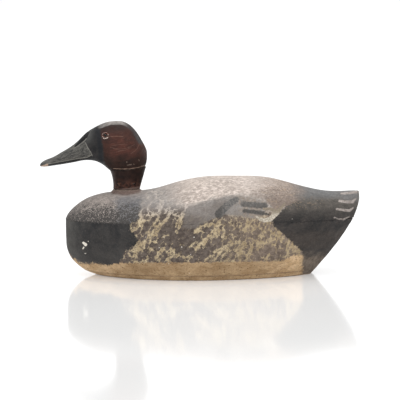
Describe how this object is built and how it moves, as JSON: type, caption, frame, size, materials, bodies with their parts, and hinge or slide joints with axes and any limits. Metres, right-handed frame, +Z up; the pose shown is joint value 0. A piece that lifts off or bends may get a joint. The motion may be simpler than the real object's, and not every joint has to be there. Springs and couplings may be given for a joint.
{
  "type": "duck decoy",
  "caption": "Hollow carved wooden floating duck decoy with a flat weighted bottom, glass eyes and a swinging line-tie ring in a recess underneath.",
  "frame": {"origin": "on the flat bottom, under the middle of the whole decoy", "axes": "+X from bill to tail, +Z up, Y across"},
  "size_m": [0.4192, 0.172, 0.2026],
  "materials": {
    "painted_wood": "worn matt paint over wood",
    "head_paint": "worn matt red-brown paint over wood",
    "bare_wood": "unpainted pine",
    "steel": "dull, lightly rusted",
    "lead": "dull grey lead",
    "eye_glass": "polished",
    "eye_iris": "painted enamel",
    "eye_pupil": "black enamel",
    "putty": "old filler"
  },
  "bodies": {
    "decoy": {"body_upper_half": "painted_wood", "body_lower_half": "painted_wood", "bottom_board": "painted_wood", "bottom_board_nails": "steel", "body_dowels": "bare_wood", "neck_dowel": "bare_wood", "inner_cleat": "bare_wood", "neck_block": "head_paint", "head_block": "head_paint", "head_screw": "steel", "head_screw_washer": "steel", "neck_nails": "steel", "lead_weight": "lead", "lead_weight_screws": "steel", "line_tie_staple": "steel", "left_eye_glass": "eye_glass", "left_eye_iris": "eye_iris", "left_eye_pupil": "eye_pupil", "left_eye_wire": "steel", "left_eye_putty": "putty", "right_eye_glass": "eye_glass", "right_eye_iris": "eye_iris", "right_eye_pupil": "eye_pupil", "right_eye_wire": "steel", "right_eye_putty": "putty"},
    "tie_ring": {"line_tie_ring": "steel"}
  },
  "joints": [
    {"name": "ring_swing", "type": "hinge", "parent": "decoy", "child": "tie_ring", "pos_m": [-0.096, 0, 0.0038], "axis": [0, 1, 0], "range_deg": [-7, 130]}
  ]
}
